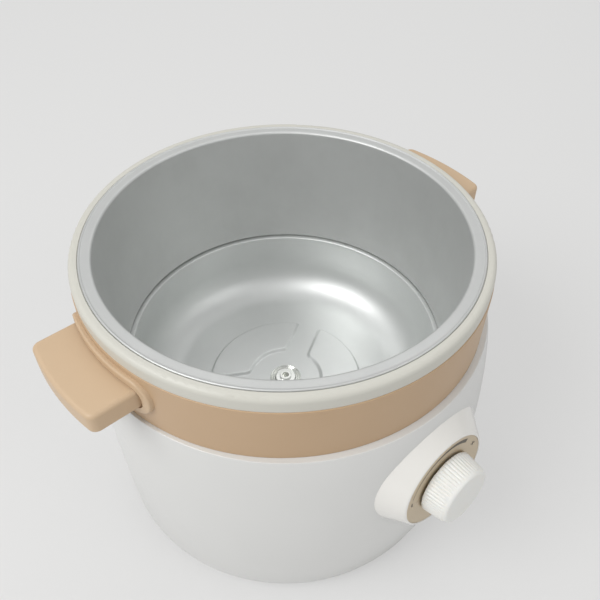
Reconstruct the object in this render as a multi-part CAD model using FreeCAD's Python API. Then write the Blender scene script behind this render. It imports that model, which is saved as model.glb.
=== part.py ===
import FreeCAD, Part
import math
import os

# Rice cooker base: tapered body with a fixed heating pan, two side handles and a turning dial.
# Millimetres. The origin is on the pan's axis at the surface it stands on; +Z is up, the dial faces -Y,
# the handles lie on +X and -X, and the mains inlet faces +Y.

# ---- driving dimensions -------------------------------------------------------------------------
FLANGE_Z = 211.0            # top of the pan flange above the table
OPENING_R = 110.0           # clear radius of the pan at its flange
FLANGE_R = 117.7            # outer radius of the pan flange
SHEET = 1.2                 # aluminium sheet of the pan wall
SEAM_Z = FLANGE_Z - 88.4    # joint of pan wall and heating dish
SEAM_R = 103.9              # pan radius at that joint
SEAM_LIP = 5.5              # width of the turned-out lips at that joint
DISH_R = 101.0              # inside radius of the dish wall
DISH_SHEET = 1.5
DISH_FLOOR_Z = FLANGE_Z - 136.3
DISH_COVE = 26.0            # radius between the dish wall and its floor
SECTOR_R_IN, SECTOR_R_OUT = 24.5, 54.5
SPOKE_WIDTH = 14.5
SECTOR_RISE = 1.9           # how far the stamped sectors stand above the dish floor
SECTOR_CHAMFER = 1.5
SECTOR_CORNER = 2.6

RING_R = 123.2              # cream top ring
RING_BOTTOM_Z = FLANGE_Z - 9.4
RING_ROUND = 3.0
BAND_R = 123.7              # tan band
BAND_BOTTOM_Z = FLANGE_Z - 47.2
BAND_T = 2.8
NECK_T = 2.5                # body wall behind the band

SHELL_TOP_R = 125.2         # body just under the band
SHELL_MID_R, SHELL_MID_Z = 124.6, 70.0
SHELL_LOW_R, SHELL_LOW_Z = 121.0, 2.0
SHELL_FOOT_ROUND = 10.0
SHELL_SHOULDER_ROUND = 0.6
SHELL_T = 2.6
SWELL = 9.6                 # how far the front stands out beyond the round section
SWELL_MID_Z, SWELL_END_Z = 90.0, 167.0
STATION_ZS = (22.0, 55.0, 90.0, 120.0, 142.0, 156.0)

HANDLE_TIP_R = 151.2
HANDLE_WIDTH = 64.0
HANDLE_TOP_Z = FLANGE_Z - 18.4
HANDLE_T = 14.0
HANDLE_CORNER, HANDLE_EDGE = 5.0, 2.6
HANDLE_WALL, HANDLE_SKIN = 3.2, 3.4
COLLAR_WIDTH, COLLAR_HEIGHT, COLLAR_T = 78.0, 25.0, 2.6
COLLAR_BEAD, COLLAR_GROOVE = 4.2, 1.3   # width of the collar's rolled rim, depth of the groove inside it
HANDLE_SCREW_Y = 20.0
HANDLE_SEAT_X = 117.5
HANDLE_BOSS_R, HANDLE_BOSS_END_X = 4.0, 139.0

DIAL_REACH = 141.3          # distance of the dial plate's face from the pan axis
DIAL_Z = 115.0
DIAL_TILT = 4.0             # degrees upwards
DIAL_R = 31.0
DIAL_DISC_T, DIAL_WEB_T = 1.2, 2.4
POD_RIM_R = 32.2
POD_SLOPE = 0.70            # growth of the housing's radius per mm of depth
POD_RISE = 0.36             # rise of its centre per mm of depth
POD_DEPTH = 15.0
POD_T = 2.4
POD_RIM_ROUND = 1.6
HOUSING_SCREW_PITCH_R, HOUSING_SCREW_ANGLES = 33.0, (90, 210, 330)
HOUSING_BOSS_R = 3.4
SHELL_OPENING_R = 27.0      # opening in the body behind the dial
KNOB_BASE_R, KNOB_FACE_R, KNOB_H = 20.4, 18.3, 16.2
KNOB_GAP = 0.8
KNOB_RIBS, KNOB_GROOVE_R = 40, 0.6
KNOB_WALL = 2.0
KNOB_SOCKET_Z, KNOB_HUB_Z = 11.0, 3.0
SPINDLE_R, SPINDLE_TAIL = 3.0, -14.0
RUNNING_GAP = 0.05          # radial clearance of the turning spindle
BUSH_R, BUSH_OUT_R, BUSH_TOP = 5.0, 4.6, 2.4
NUT_FLATS, NUT_TOP = 13.0, 2.0
THERMOSTAT_X, THERMOSTAT_Y, THERMOSTAT_DEPTH = 34.0, 28.0, 19.0
TAB_X, TAB_Y, TAB_LENGTH = 9.0, 6.0, 7.0

PLATE_R = 109.3
PLATE_BOTTOM_Z, PLATE_T = 3.5, 3.0
PLATE_PAD_R = 16.0
LIP_R, LIP_T = 106.0, 2.0
FOOT_R, FOOT_PITCH_R, FOOT_STEM_R = 9.0, 92.0, 3.0
FOOT_ANGLES = (20, 160, 200, 340)
BASE_BOSS_R, BASE_BOSS_PITCH_R, BASE_BOSS_TOP_Z = 5.0, 102.5, 22.0
BASE_SCREW_ANGLES = (45, 135, 225, 315)
SCREW_R = 1.5
HEAD_R, HEAD_H = 3.0, 2.0

HUB_STUD_R, HUB_STUD_TOP = 4.3, 3.4
HUB_BORE_R = 2.4
HUB_WASHER_R, HUB_WASHER_T = 10.4, 1.2
HUB_NUT_R, HUB_NUT_T = 7.2, 1.0
HUB_SLEEVE_T = 2.2
HEATER_T, HEATER_R = 7.0, 68.0
HEATER_RING_R, HEATER_TUBE_R = 52.0, 4.0
HEATER_GAP = 9.0            # half the opening between the element's ends
TERMINAL_X, TERMINAL_Y, TERMINAL_LENGTH, TERMINAL_R = 12.0, 50.3, 14.0, 1.8
SHIELD_Z, SHIELD_T, SHIELD_R, SHIELD_HEIGHT, SHIELD_BEND = 46.0, 0.8, 92.0, 26.0, 5.0
POST_ANGLES = (90, 210, 330)
POST_PITCH_R, POST_R, POST_SPIGOT_R = 76.0, 5.0, 2.5
WRAP_T, WRAP_GAP = 4.0, 0.6

INLET_Z = 42.0
INLET_FACE_Y = 125.0
INLET_OPENING = (28.4, 21.4)
INLET_FLANGE, INLET_FLANGE_T = (50.0, 24.0), 2.6
INLET_BOX, INLET_BOX_WALL = (58.0, 32.0), 2.4
INLET_WELL, INLET_WELL_DEPTH = (24.0, 16.0), 14.0
INLET_BARREL = 17.0
INLET_PITCH_X = 20.0
INLET_PINS = ((-7.0, 2.0), (7.0, 2.0), (0.0, -2.5))     # places from the socket's centre
PIN_HALF_W, PIN_HALF_T, PIN_TAIL = 2.0, 1.0, 22.0
BULB_R, BULB_X, BULB_RISE = 2.6, -26.0, 5.0
FUSE_X, FUSE_R, FUSE_DROP = 30.0, 2.4, 3.0
WIRE_R = 1.3
WIRE_Z, WIRE_ROUTE_R, WIRE_BEND = 32.0, 95.0, 4.0

# ---- dimensions that follow from them -----------------------------------------------------------
NECK_R = BAND_R - BAND_T
NECK_IN_R = NECK_R - NECK_T
LIP_Z0 = PLATE_BOTTOM_Z + PLATE_T
LIP_Z1 = LIP_Z0 + LIP_T
HANDLE_MID_Z = HANDLE_TOP_Z - HANDLE_T / 2
HEATER_TOP_Z = DISH_FLOOR_Z - DISH_SHEET
HEATER_BACK_Z = HEATER_TOP_Z - HEATER_T
TERMINAL_END_Z = HEATER_BACK_Z - TERMINAL_LENGTH
THERMOSTAT_FRONT = -DIAL_DISC_T - DIAL_WEB_T
THERMOSTAT_BACK = THERMOSTAT_FRONT - THERMOSTAT_DEPTH
TAB_END = THERMOSTAT_BACK - TAB_LENGTH
INLET_TAIL_Y = INLET_FACE_Y - PIN_TAIL

OUT_DIR = "parts"
V = FreeCAD.Vector
AXIS_Z = V(0, 0, 1)


# ---- small geometry helpers ---------------------------------------------------------------------
def rounded_wire(corners, place):
    """Closed wire through corners (u, v, radius), with a tangent arc at each corner that has a radius."""
    points = [V(u, v, 0) for u, v, _ in corners]
    count = len(points)
    stations = []
    for i, (_, _, radius) in enumerate(corners):
        here, before, after = points[i], points[i - 1], points[(i + 1) % count]
        if radius <= 0:
            stations.append((here, None, here))
            continue
        back, on = (before - here).normalize(), (after - here).normalize()
        half = back.getAngle(on) / 2
        reach = radius / math.tan(half)
        middle = (back + on).normalize()
        centre = here + middle * (radius / math.sin(half))
        stations.append((here + back * reach, centre - middle * radius, here + on * reach))
    edges = []
    for i in range(count):
        start, mid, end = stations[i]
        if mid is not None:
            edges.append(Part.Arc(place(start), place(mid), place(end)).toShape())
        following = stations[(i + 1) % count][0]
        if (following - end).Length > 1e-6:
            edges.append(Part.LineSegment(place(end), place(following)).toShape())
    return Part.Wire(edges)


def revolved(corners):
    """Solid of revolution about Z from an outline of (radius, z, corner radius)."""
    face = Part.Face(rounded_wire(corners, lambda p: V(p.x, 0, p.y)))
    return face.revolve(V(0, 0, 0), AXIS_Z, 360)


def plain(points):
    """The same points as sharp corners."""
    return [(u, v, 0) for u, v in points]


def tube(r_in, r_out, z0, z1):
    """Straight ring about Z."""
    return revolved(plain([(r_in, z0), (r_out, z0), (r_out, z1), (r_in, z1)]))


def rod(radius, start, end):
    """Cylinder from start to end."""
    return Part.makeCylinder(radius, (end - start).Length, start, end - start)


def block(x0, x1, y0, y1, z0, z1):
    """Box between two corners."""
    return Part.makeBox(x1 - x0, y1 - y0, z1 - z0, V(x0, y0, z0))


def slab(corners, z0, z1):
    """Upright prism on an outline of (x, y, corner radius)."""
    face = Part.Face(rounded_wire(corners, lambda p: V(p.x, p.y, z0)))
    return face.extrude(V(0, 0, z1 - z0))


def prism_x(corners, x0, x1):
    """Prism along X on an outline of (y, z, corner radius)."""
    face = Part.Face(rounded_wire(corners, lambda p: V(x0, p.x, p.y)))
    return face.extrude(V(x1 - x0, 0, 0))


def prism_y(corners, y0, y1):
    """Prism along Y on an outline of (x, z, corner radius)."""
    face = Part.Face(rounded_wire(corners, lambda p: V(p.x, y0, p.y)))
    return face.extrude(V(0, y1 - y0, 0))


def polar(radius, degrees, z=0.0):
    """Point at an angle from +X."""
    return V(radius * math.cos(math.radians(degrees)), radius * math.sin(math.radians(degrees)), z)


def turned(shape, degrees):
    """Copy turned about the pan axis."""
    copy = shape.copy()
    copy.rotate(V(0, 0, 0), AXIS_Z, degrees)
    return copy


def run_of(points, radius, wire_r):
    """Round wire along straight runs joined by tangent arcs."""
    edges, start = [], points[0]
    for before, here, after in zip(points, points[1:], points[2:]):
        back, on = (before - here).normalize(), (after - here).normalize()
        half = back.getAngle(on) / 2
        reach = radius / math.tan(half)
        middle = (back + on).normalize()
        centre = here + middle * (radius / math.sin(half))
        enter, leave = here + back * reach, here + on * reach
        edges.append(Part.LineSegment(start, enter).toShape())
        edges.append(Part.Arc(enter, centre - middle * radius, leave).toShape())
        start = leave
    edges.append(Part.LineSegment(start, points[-1]).toShape())
    path = Part.Wire(edges)
    section = Part.Wire(Part.makeCircle(wire_r, points[0], points[1] - points[0]))
    return path.makePipeShell([section], True, False)


# ---- the body's outer surface -------------------------------------------------------------------
def shell_radius(z):
    """Radius of the body's round section at a height, from the circle through its three points."""
    circle = Part.Arc(V(SHELL_LOW_R, 0, SHELL_LOW_Z), V(SHELL_MID_R, 0, SHELL_MID_Z),
                      V(SHELL_TOP_R, 0, BAND_BOTTOM_Z)).toShape().Curve
    return circle.Center.x + math.sqrt(circle.Radius ** 2 - (z - circle.Center.z) ** 2)


def swell(z):
    """How far the front stands out at a height: most at the dial, none at the foot, little at the band."""
    if z < SWELL_MID_Z:
        return SWELL * math.sin(math.pi / 2 * (z - SHELL_LOW_Z) / (SWELL_MID_Z - SHELL_LOW_Z))
    return SWELL * math.sqrt(math.cos(math.pi / 2 * (z - SWELL_MID_Z) / (SWELL_END_Z - SWELL_MID_Z)))


def front_y(x, z, inset=0.0):
    """Y of the front surface at a place; inset moves it inwards."""
    half = shell_radius(z) - inset
    out = swell(z) / 2
    return -out - (half + out) * math.sqrt(1 - (x / half) ** 2)


def body_solid(inset, z0, z1):
    """Solid inside the body's surface between two heights: oval sections that are round at the back."""
    wires = []
    for z in [z0] + [z for z in STATION_ZS if z0 + 3 < z < z1 - 3] + [z1]:
        half = shell_radius(z) - inset
        out = max(swell(z) / 2, 0.001)
        centre = V(0, -out, z)
        oval = Part.Ellipse(centre + V(0, half + out, 0), centre + V(half, 0, 0), centre)
        side = math.pi / 2
        wires.append(Part.Wire([oval.toShape(side, 3 * side), oval.toShape(3 * side, 5 * side)]))
    return Part.makeLoft(wires, True, False)


def flat_edges_at(shape, z):
    """Edges of a shape that lie level at a height."""
    return [e for e in shape.Edges if abs(e.BoundBox.ZMin - z) < 1e-3 and abs(e.BoundBox.ZMax - z) < 1e-3]


def dial_placed(shape):
    """Shape moved from the dial's own frame (+Z outwards, +Y up) to its place on the front."""
    copy = shape.copy()
    turn = FreeCAD.Rotation(V(1, 0, 0), 90 - DIAL_TILT)
    copy.Placement = FreeCAD.Placement(V(0, -DIAL_REACH, DIAL_Z), turn).multiply(copy.Placement)
    return copy


def at_dial(x, y, z):
    """Point given in the dial's frame."""
    turn = FreeCAD.Rotation(V(1, 0, 0), 90 - DIAL_TILT)
    return turn.multVec(V(x, y, z)) + V(0, -DIAL_REACH, DIAL_Z)


def housing_screw_spots():
    """Each housing screw: its place in the dial's frame and the depth of its seat inside the body."""
    tilt = math.radians(DIAL_TILT)
    for angle in HOUSING_SCREW_ANGLES:
        spot = polar(HOUSING_SCREW_PITCH_R, angle)
        inner_y = front_y(spot.x, at_dial(spot.x, spot.y, -POD_DEPTH / 2).z, SHELL_T)
        yield spot, -(DIAL_REACH + inner_y - spot.y * math.sin(tilt)) / math.cos(tilt) + 0.4


# ---- body ---------------------------------------------------------------------------------------
def inlet_box():
    """The flat box on the back that the mains socket sits in, and its hollow."""
    half_w, half_h = INLET_BOX[0] / 2, INLET_BOX[1] / 2
    box = block(-half_w, half_w, 108, INLET_FACE_Y, INLET_Z - half_h, INLET_Z + half_h)
    half_w, half_h = half_w - INLET_BOX_WALL, half_h - INLET_BOX_WALL
    hollow = block(-half_w, half_w, 100, INLET_FACE_Y - SHELL_T, INLET_Z - half_h, INLET_Z + half_h)
    return box.cut(hollow), hollow


def outer_shell():
    outer = body_solid(0.0, SHELL_LOW_Z, BAND_BOTTOM_Z)
    outer = outer.makeFillet(SHELL_FOOT_ROUND, flat_edges_at(outer, SHELL_LOW_Z))
    outer = outer.makeFillet(SHELL_SHOULDER_ROUND, flat_edges_at(outer, BAND_BOTTOM_Z))
    neck_z = BAND_BOTTOM_Z - 5
    hollows = [
        body_solid(SHELL_T, LIP_Z1, neck_z),
        rod(NECK_IN_R, V(0, 0, neck_z - 1), V(0, 0, RING_BOTTOM_Z + 1)),
        rod(PLATE_R + 0.2, V(0, 0, 0), V(0, 0, LIP_Z0)),
        rod(LIP_R, V(0, 0, LIP_Z0 - 1), V(0, 0, LIP_Z1 + 1)),
    ]
    shell = outer.fuse(rod(NECK_R, V(0, 0, neck_z), V(0, 0, RING_BOTTOM_Z))).cut(hollows)

    additions = []
    for angle in BASE_SCREW_ANGLES:
        additions.append(rod(BASE_BOSS_R, polar(BASE_BOSS_PITCH_R, angle, LIP_Z0),
                             polar(BASE_BOSS_PITCH_R, angle, BASE_BOSS_TOP_Z)))
        additions.append(turned(block(BASE_BOSS_PITCH_R, shell_radius(14) - 1.4, -1.2, 1.2, LIP_Z0 + 0.5,
                                      BASE_BOSS_TOP_Z), angle))
    box, hollow = inlet_box()
    shell = shell.fuse(additions + [box])

    cuts = [hollow, dial_placed(rod(SHELL_OPENING_R, V(0, 0, -60), V(0, 0, 0)))]
    half_w, half_h = INLET_OPENING[0] / 2, INLET_OPENING[1] / 2
    cuts.append(block(-half_w, half_w, 100, 130, INLET_Z - half_h, INLET_Z + half_h))
    for side in (-1, 1):
        x = side * INLET_PITCH_X
        cuts.append(rod(SCREW_R, V(x, 100, INLET_Z), V(x, 130, INLET_Z)))
        for y in (-HANDLE_SCREW_Y, HANDLE_SCREW_Y):
            cuts.append(rod(SCREW_R, V(side * 110, y, HANDLE_MID_Z), V(side * 130, y, HANDLE_MID_Z)))
            cuts.append(rod(HEAD_R + 0.6, V(side * 110, y, HANDLE_MID_Z),
                            V(side * HANDLE_SEAT_X, y, HANDLE_MID_Z)))
    for angle in BASE_SCREW_ANGLES:
        cuts.append(rod(SCREW_R, polar(BASE_BOSS_PITCH_R, angle, 0), polar(BASE_BOSS_PITCH_R, angle, 19)))
    for spot, seat in housing_screw_spots():
        cuts.append(dial_placed(rod(SCREW_R, spot + V(0, 0, -60), spot)))
        cuts.append(dial_placed(rod(HEAD_R + 0.8, spot + V(0, 0, -60), spot + V(0, 0, seat))))
    return shell.cut(cuts)


def base_plate():
    plate = revolved([(0, PLATE_BOTTOM_Z, 0), (PLATE_R, PLATE_BOTTOM_Z, 1.0), (PLATE_R, LIP_Z0, 0),
                      (0, LIP_Z0, 0)])
    plate = plate.fuse(rod(PLATE_PAD_R, V(0, 0, 0), V(0, 0, PLATE_BOTTOM_Z)))
    cuts = []
    for angles, pitch, radius in ((BASE_SCREW_ANGLES, BASE_BOSS_PITCH_R, SCREW_R),
                                  (FOOT_ANGLES, FOOT_PITCH_R, FOOT_STEM_R),
                                  (POST_ANGLES, POST_PITCH_R, POST_SPIGOT_R)):
        cuts += [rod(radius, polar(pitch, a, 0), polar(pitch, a, LIP_Z0 + 1)) for a in angles]
    slot = slab([(30, -2, 1.9), (58, -2, 1.9), (58, 2, 1.9), (30, 2, 1.9)], 2, 8)
    cuts += [turned(slot, 22.5 + 45 * i) for i in range(8)]
    return plate.cut(cuts)


def foot(angle):
    pad = revolved([(0, 0, 0), (FOOT_R, 0, 1.0), (FOOT_R + 0.8, PLATE_BOTTOM_Z, 0),
                    (FOOT_STEM_R, PLATE_BOTTOM_Z, 0), (FOOT_STEM_R, LIP_Z0, 0.6), (0, LIP_Z0, 0)])
    pad.translate(polar(FOOT_PITCH_R, angle))
    return pad


def screw(head_r, head_h, shank_r, length, seat, direction):
    """Pan-head screw with a cross slot; the head stands behind the seat, the shank goes along direction."""
    head = revolved([(0, -head_h, 0), (head_r, -head_h, head_h * 0.45), (head_r, 0, 0), (shank_r, 0, 0),
                     (shank_r, length, 0.5), (0, length, 0)])
    slots = [block(-head_r * 0.6, head_r * 0.6, -0.35, 0.35, -head_h - 1, -head_h * 0.5)]
    slots.append(block(-0.35, 0.35, -head_r * 0.6, head_r * 0.6, -head_h - 1, -head_h * 0.5))
    body = head.cut(slots)
    body.Placement = FreeCAD.Placement(seat, FreeCAD.Rotation(AXIS_Z, direction))
    return body


def base_screw(angle):
    return screw(HEAD_R, 1.8, SCREW_R, 14.0, polar(BASE_BOSS_PITCH_R, angle, PLATE_BOTTOM_Z), AXIS_Z)


def handle_band():
    band = revolved([(NECK_R, BAND_BOTTOM_Z, 0), (BAND_R, BAND_BOTTOM_Z, 0.5), (BAND_R, RING_BOTTOM_Z, 0.6),
                     (NECK_R, RING_BOTTOM_Z, 0)])
    cuts = [rod(SCREW_R, V(side * 110, y, HANDLE_MID_Z), V(side * 140, y, HANDLE_MID_Z))
            for side in (-1, 1) for y in (-HANDLE_SCREW_Y, HANDLE_SCREW_Y)]
    return band.cut(cuts)


def top_ring():
    top = FLANGE_Z - 0.4
    rest = FLANGE_Z - SHEET
    inner = OPENING_R + 3.5
    return revolved([
        (NECK_IN_R, RING_BOTTOM_Z, 0), (RING_R, RING_BOTTOM_Z, 0.3), (RING_R, top, RING_ROUND),
        (FLANGE_R + 0.2, top, 0.5), (FLANGE_R + 0.2, rest, 0), (inner, rest, 0),
        (inner, rest - 2.4, 0.8), (NECK_IN_R, rest - 2.4, 0.8),
    ])


# ---- pan ----------------------------------------------------------------------------------------
def pan_wall():
    foot_out = SEAM_R + SEAM_LIP
    return revolved([
        (FLANGE_R, FLANGE_Z - SHEET, 0.4), (FLANGE_R, FLANGE_Z, 0.6), (OPENING_R, FLANGE_Z, 1.6),
        (SEAM_R, SEAM_Z, 0.5), (foot_out, SEAM_Z, 0), (foot_out, SEAM_Z + SHEET, 0),
        (SEAM_R + SHEET, SEAM_Z + SHEET, 0.4), (OPENING_R + SHEET, FLANGE_Z - SHEET, 0.5),
    ])


def sector(grow, z0, z1):
    """One stamped sector between two spokes, seen from above; grow widens its outline."""
    half = SPOKE_WIDTH / 2 - grow
    r_in, r_out = SECTOR_R_IN - grow, SECTOR_R_OUT + grow
    ring = tube(r_in, r_out, z0, z1)
    far = 4 * r_out
    side_x, side_y = far * math.cos(math.pi / 6), far * 0.5 + half / math.cos(math.pi / 6)
    wedge = slab(plain([(0, half / math.sin(math.pi / 3)), (side_x, side_y), (0, 2 * far),
                        (-side_x, side_y)]), z0, z1)
    piece = ring.common(wedge)
    upright = [e for e in piece.Edges if abs(e.BoundBox.ZLength - (z1 - z0)) < 1e-6
               and e.BoundBox.XLength < 1e-3 and e.BoundBox.YLength < 1e-3]
    return piece.makeFillet(SECTOR_CORNER + grow, upright)


def heating_dish():
    floor, top = DISH_FLOOR_Z, SEAM_Z
    t = DISH_SHEET
    rim = SEAM_R + SEAM_LIP
    dish = revolved([
        (0, floor, 0), (DISH_R, floor, DISH_COVE), (DISH_R, top, 1.1), (rim, top, 0), (rim, top - t, 0),
        (DISH_R + t, top - t, 0.4), (DISH_R + t, floor - t, DISH_COVE + t), (0, floor - t, 0),
    ])
    raised = sector(0.0, floor - 0.2, floor + SECTOR_RISE)
    raised = raised.makeChamfer(SECTOR_CHAMFER, flat_edges_at(raised, floor + SECTOR_RISE))
    hollow = sector(-t, floor - t - 1, floor - t + SECTOR_RISE)
    pads = [turned(raised, 120 * i) for i in range(3)]
    hollows = [turned(hollow, 120 * i) for i in range(3)]
    hole = rod(HUB_STUD_R, V(0, 0, floor - 10), V(0, 0, floor + 10))
    return dish.fuse(pads).cut(hollows + [hole])


def hub_stud():
    body = rod(HUB_STUD_R, V(0, 0, SHIELD_Z - 6), V(0, 0, DISH_FLOOR_Z + HUB_STUD_TOP))
    body = body.makeChamfer(0.5, [e for e in body.Edges if e.BoundBox.ZLength < 1e-6])
    return body.cut(rod(HUB_BORE_R, V(0, 0, DISH_FLOOR_Z - 3), V(0, 0, DISH_FLOOR_Z + 10)))


def hub_collar(radius, z, thickness, edge):
    """Round collar on the stud, with a rounded outer edge on top."""
    top = z + thickness
    return revolved([(HUB_STUD_R, z, 0), (radius, z, 0), (radius, top, edge), (HUB_STUD_R, top, 0)])


def hub_washer():
    return hub_collar(HUB_WASHER_R, DISH_FLOOR_Z, HUB_WASHER_T, 0.5)


def hub_nut():
    return hub_collar(HUB_NUT_R, DISH_FLOOR_Z + HUB_WASHER_T, HUB_NUT_T, 0.6)


def heater_plate():
    plate = revolved([(HUB_STUD_R, HEATER_BACK_Z, 0), (HEATER_R, HEATER_BACK_Z, 1.5),
                      (HEATER_R, HEATER_TOP_Z, 1.5), (HUB_STUD_R, HEATER_TOP_Z, 0)])
    groove = tube(HEATER_RING_R - HEATER_TUBE_R, HEATER_RING_R + HEATER_TUBE_R, HEATER_BACK_Z - 1,
                  HEATER_BACK_Z + 3)
    return plate.cut(groove)


def heater_ring():
    """Sheathed element in the plate's groove, open at the back, with two terminal pins."""
    z1 = HEATER_BACK_Z + 3
    z0 = z1 - 2 * HEATER_TUBE_R
    inner, outer = HEATER_RING_R - HEATER_TUBE_R, HEATER_RING_R + HEATER_TUBE_R
    ring = revolved([(inner, z1, 0), (inner, z0, 3.6), (outer, z0, 3.6), (outer, z1, 0)])
    ring = ring.cut(block(-HEATER_GAP, HEATER_GAP, 0, 80, z1 - 20, z1 + 5))
    pins = [rod(TERMINAL_R, V(x, TERMINAL_Y, z1 - 5), V(x, TERMINAL_Y, TERMINAL_END_Z))
            for x in (-TERMINAL_X, TERMINAL_X)]
    return ring.fuse(pins)


def heat_shield():
    rim_z, inner = SHIELD_Z + SHIELD_HEIGHT, SHIELD_R - SHIELD_T
    shield = revolved([
        (HUB_STUD_R, SHIELD_Z, 0), (SHIELD_R, SHIELD_Z, SHIELD_BEND), (SHIELD_R, rim_z, 0),
        (inner, rim_z, 0), (inner, SHIELD_Z + SHIELD_T, SHIELD_BEND - SHIELD_T),
        (HUB_STUD_R, SHIELD_Z + SHIELD_T, 0),
    ])
    openings = [rod(5.0, V(x, TERMINAL_Y, SHIELD_Z - 1), V(x, TERMINAL_Y, SHIELD_Z + 3))
                for x in (-TERMINAL_X, TERMINAL_X)]
    return shield.cut(openings)


def hub_sleeve():
    return tube(HUB_STUD_R, HUB_STUD_R + HUB_SLEEVE_T, SHIELD_Z + SHIELD_T, HEATER_BACK_Z)


def hub_back_nut():
    return hexagon_nut(NUT_FLATS, HUB_STUD_R, SHIELD_Z - 4.5, SHIELD_Z)


def shield_post(angle):
    body = revolved([(0, PLATE_BOTTOM_Z, 0), (POST_SPIGOT_R, PLATE_BOTTOM_Z, 0), (POST_SPIGOT_R, LIP_Z0, 0),
                     (POST_R, LIP_Z0, 0), (POST_R, SHIELD_Z, 0.5), (0, SHIELD_Z, 0)])
    body.translate(polar(POST_PITCH_R, angle))
    return body


def insulation_wrap():
    """Soft wrap round the pan wall, above its foot."""
    slope = (OPENING_R - SEAM_R) / (FLANGE_Z - SEAM_Z)
    z0, z1 = SEAM_Z + SHEET, FLANGE_Z - 16.0
    r0 = SEAM_R + SHEET + slope * SHEET
    r1 = SEAM_R + SHEET + slope * (z1 - SEAM_Z)
    return revolved(plain([(r0 + WRAP_GAP, z0), (r0 + WRAP_T, z0), (r1 + WRAP_T, z1), (r1 + WRAP_GAP, z1)]))


# ---- handles ------------------------------------------------------------------------------------
def stadium(width, height):
    """Outline of the collar, round at both ends, centred at the handle's height."""
    half_w, half_h, corner = width / 2, height / 2, height * 0.48
    return [(y * half_w, HANDLE_MID_Z + z * half_h, corner) for y, z in ((-1, -1), (1, -1), (1, 1), (-1, 1))]


def handle_grip(low, high, half):
    """The solid grip, with its corners and edges rounded."""
    far = HANDLE_TIP_R + 3
    grip = slab(plain([(100, -half), (far, -half), (far, half), (100, half)]), low, high)
    grip = grip.common(rod(HANDLE_TIP_R, V(0, 0, low), V(0, 0, high)))
    grip = grip.cut(rod(BAND_R, V(0, 0, low - 1), V(0, 0, high + 1)))
    corners = [e for e in grip.Edges if e.BoundBox.ZLength > 1 and e.CenterOfMass.x > BAND_R + 10]
    grip = grip.makeFillet(HANDLE_CORNER, corners)
    rim = [e for e in grip.Edges if e.BoundBox.ZLength < 1e-6 and e.CenterOfMass.x > BAND_R + 3]
    return grip.makeFillet(HANDLE_EDGE, rim)


def handle_collar(low, high):
    """The pad that lies on the band round the grip, with a rolled rim and a groove inside it."""
    outer = BAND_R + COLLAR_T
    pad = prism_x(stadium(COLLAR_WIDTH, COLLAR_HEIGHT), 100, 135).common(
        tube(BAND_R, outer, low - 20, high + 20))
    edge = [e for e in pad.Edges if min(math.hypot(v.X, v.Y) for v in e.Vertexes) > outer - 0.1]
    pad = pad.makeFillet(COLLAR_T / 2, edge)
    inside = prism_x(stadium(COLLAR_WIDTH - 2 * COLLAR_BEAD, COLLAR_HEIGHT - 2 * COLLAR_BEAD), 100, 135)
    return pad.cut(inside.common(tube(outer - COLLAR_GROOVE, outer + 1, low - 20, high + 20)))


def handle(side):
    """Hollow side grip with its collar; modelled on +X, side -1 is its twin."""
    low, high = HANDLE_TOP_Z - HANDLE_T, HANDLE_TOP_Z
    half = HANDLE_WIDTH / 2
    root, tip = BAND_R + COLLAR_T + 1.5, HANDLE_TIP_R - HANDLE_WALL
    side_y = half - HANDLE_WALL
    pocket = slab([(root, -side_y, 1.5), (tip, -side_y, 3.0), (tip, side_y, 3.0), (root, side_y, 1.5)],
                  low - 1, high - HANDLE_SKIN)
    pocket = pocket.common(rod(tip, V(0, 0, low - 1), V(0, 0, high)))
    body = handle_grip(low, high, half).cut(pocket).fuse(handle_collar(low, high))
    inner = BAND_R - 1
    extra = []
    for y in (-HANDLE_SCREW_Y, HANDLE_SCREW_Y):
        extra.append(rod(HANDLE_BOSS_R, V(inner, y, HANDLE_MID_Z), V(HANDLE_BOSS_END_X, y, HANDLE_MID_Z)))
        extra.append(block(inner, HANDLE_BOSS_END_X, y - 1, y + 1, HANDLE_MID_Z, high - HANDLE_SKIN + 0.5))
    bosses = extra[0].fuse(extra[1:]).cut(rod(BAND_R, V(0, 0, low - 1), V(0, 0, high + 1)))
    holes = [rod(SCREW_R, V(110, y, HANDLE_MID_Z), V(136, y, HANDLE_MID_Z))
             for y in (-HANDLE_SCREW_Y, HANDLE_SCREW_Y)]
    body = body.fuse(bosses).cut(holes)
    return body if side > 0 else turned(body, 180)


def handle_screw(side, y):
    seat = V(side * HANDLE_SEAT_X, y, HANDLE_MID_Z)
    return screw(HEAD_R, HEAD_H, SCREW_R, 17.0, seat, V(side, 0, 0))


# ---- dial ---------------------------------------------------------------------------------------
def housing_cone(inset, z0, z1):
    """Leaning cone between two depths in the dial's frame; inset makes it narrower."""
    rings = [Part.Wire(Part.makeCircle(POD_RIM_R - POD_SLOPE * z - inset, V(0, -POD_RISE * z, z)))
             for z in (z1, z0)]
    return Part.makeLoft(rings, True, True)


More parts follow.
